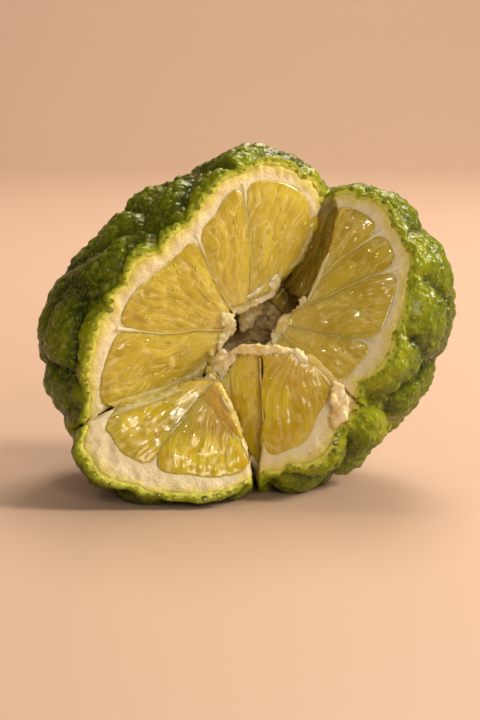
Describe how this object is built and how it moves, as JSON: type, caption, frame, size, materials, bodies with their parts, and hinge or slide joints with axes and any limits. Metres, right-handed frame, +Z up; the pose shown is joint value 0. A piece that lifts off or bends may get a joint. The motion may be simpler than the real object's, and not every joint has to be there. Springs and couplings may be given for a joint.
{
  "type": "torn makrut lime",
  "caption": "Bumpy green citrus fruit cut across and torn into lobes, showing pith, pulp segments and a ragged core round a torn hollow; stands on a flat spot.",
  "frame": {"origin": "middle of the part's bounding box at the level of the surface it rests on", "axes": "+Z up; -Y towards the cut face, which leans back ten degrees; +X along the fruit's longer width, to the right when the cut face is seen from the front"},
  "size_m": [0.0698, 0.0494, 0.0563],
  "materials": {
    "rind": "waxy, bumpy, finely pitted",
    "pith": "matt, spongy, damp",
    "core": "matt, fibrous, damp",
    "pulp": "wet, translucent juice sacs"
  },
  "bodies": {
    "root": {"rind": "rind", "pith": "pith", "core": "core", "segment_top": "pulp", "segment_upper_left": "pulp", "segment_left": "pulp", "segment_lower_left": "pulp", "flap_segment_outer": "pulp", "flap_segment_inner": "pulp", "sunk_segment": "pulp", "lower_right_segment": "pulp", "segment_right_bottom": "pulp", "segment_right_low": "pulp", "segment_right_high": "pulp", "segment_right_top": "pulp"}
  },
  "joints": []
}
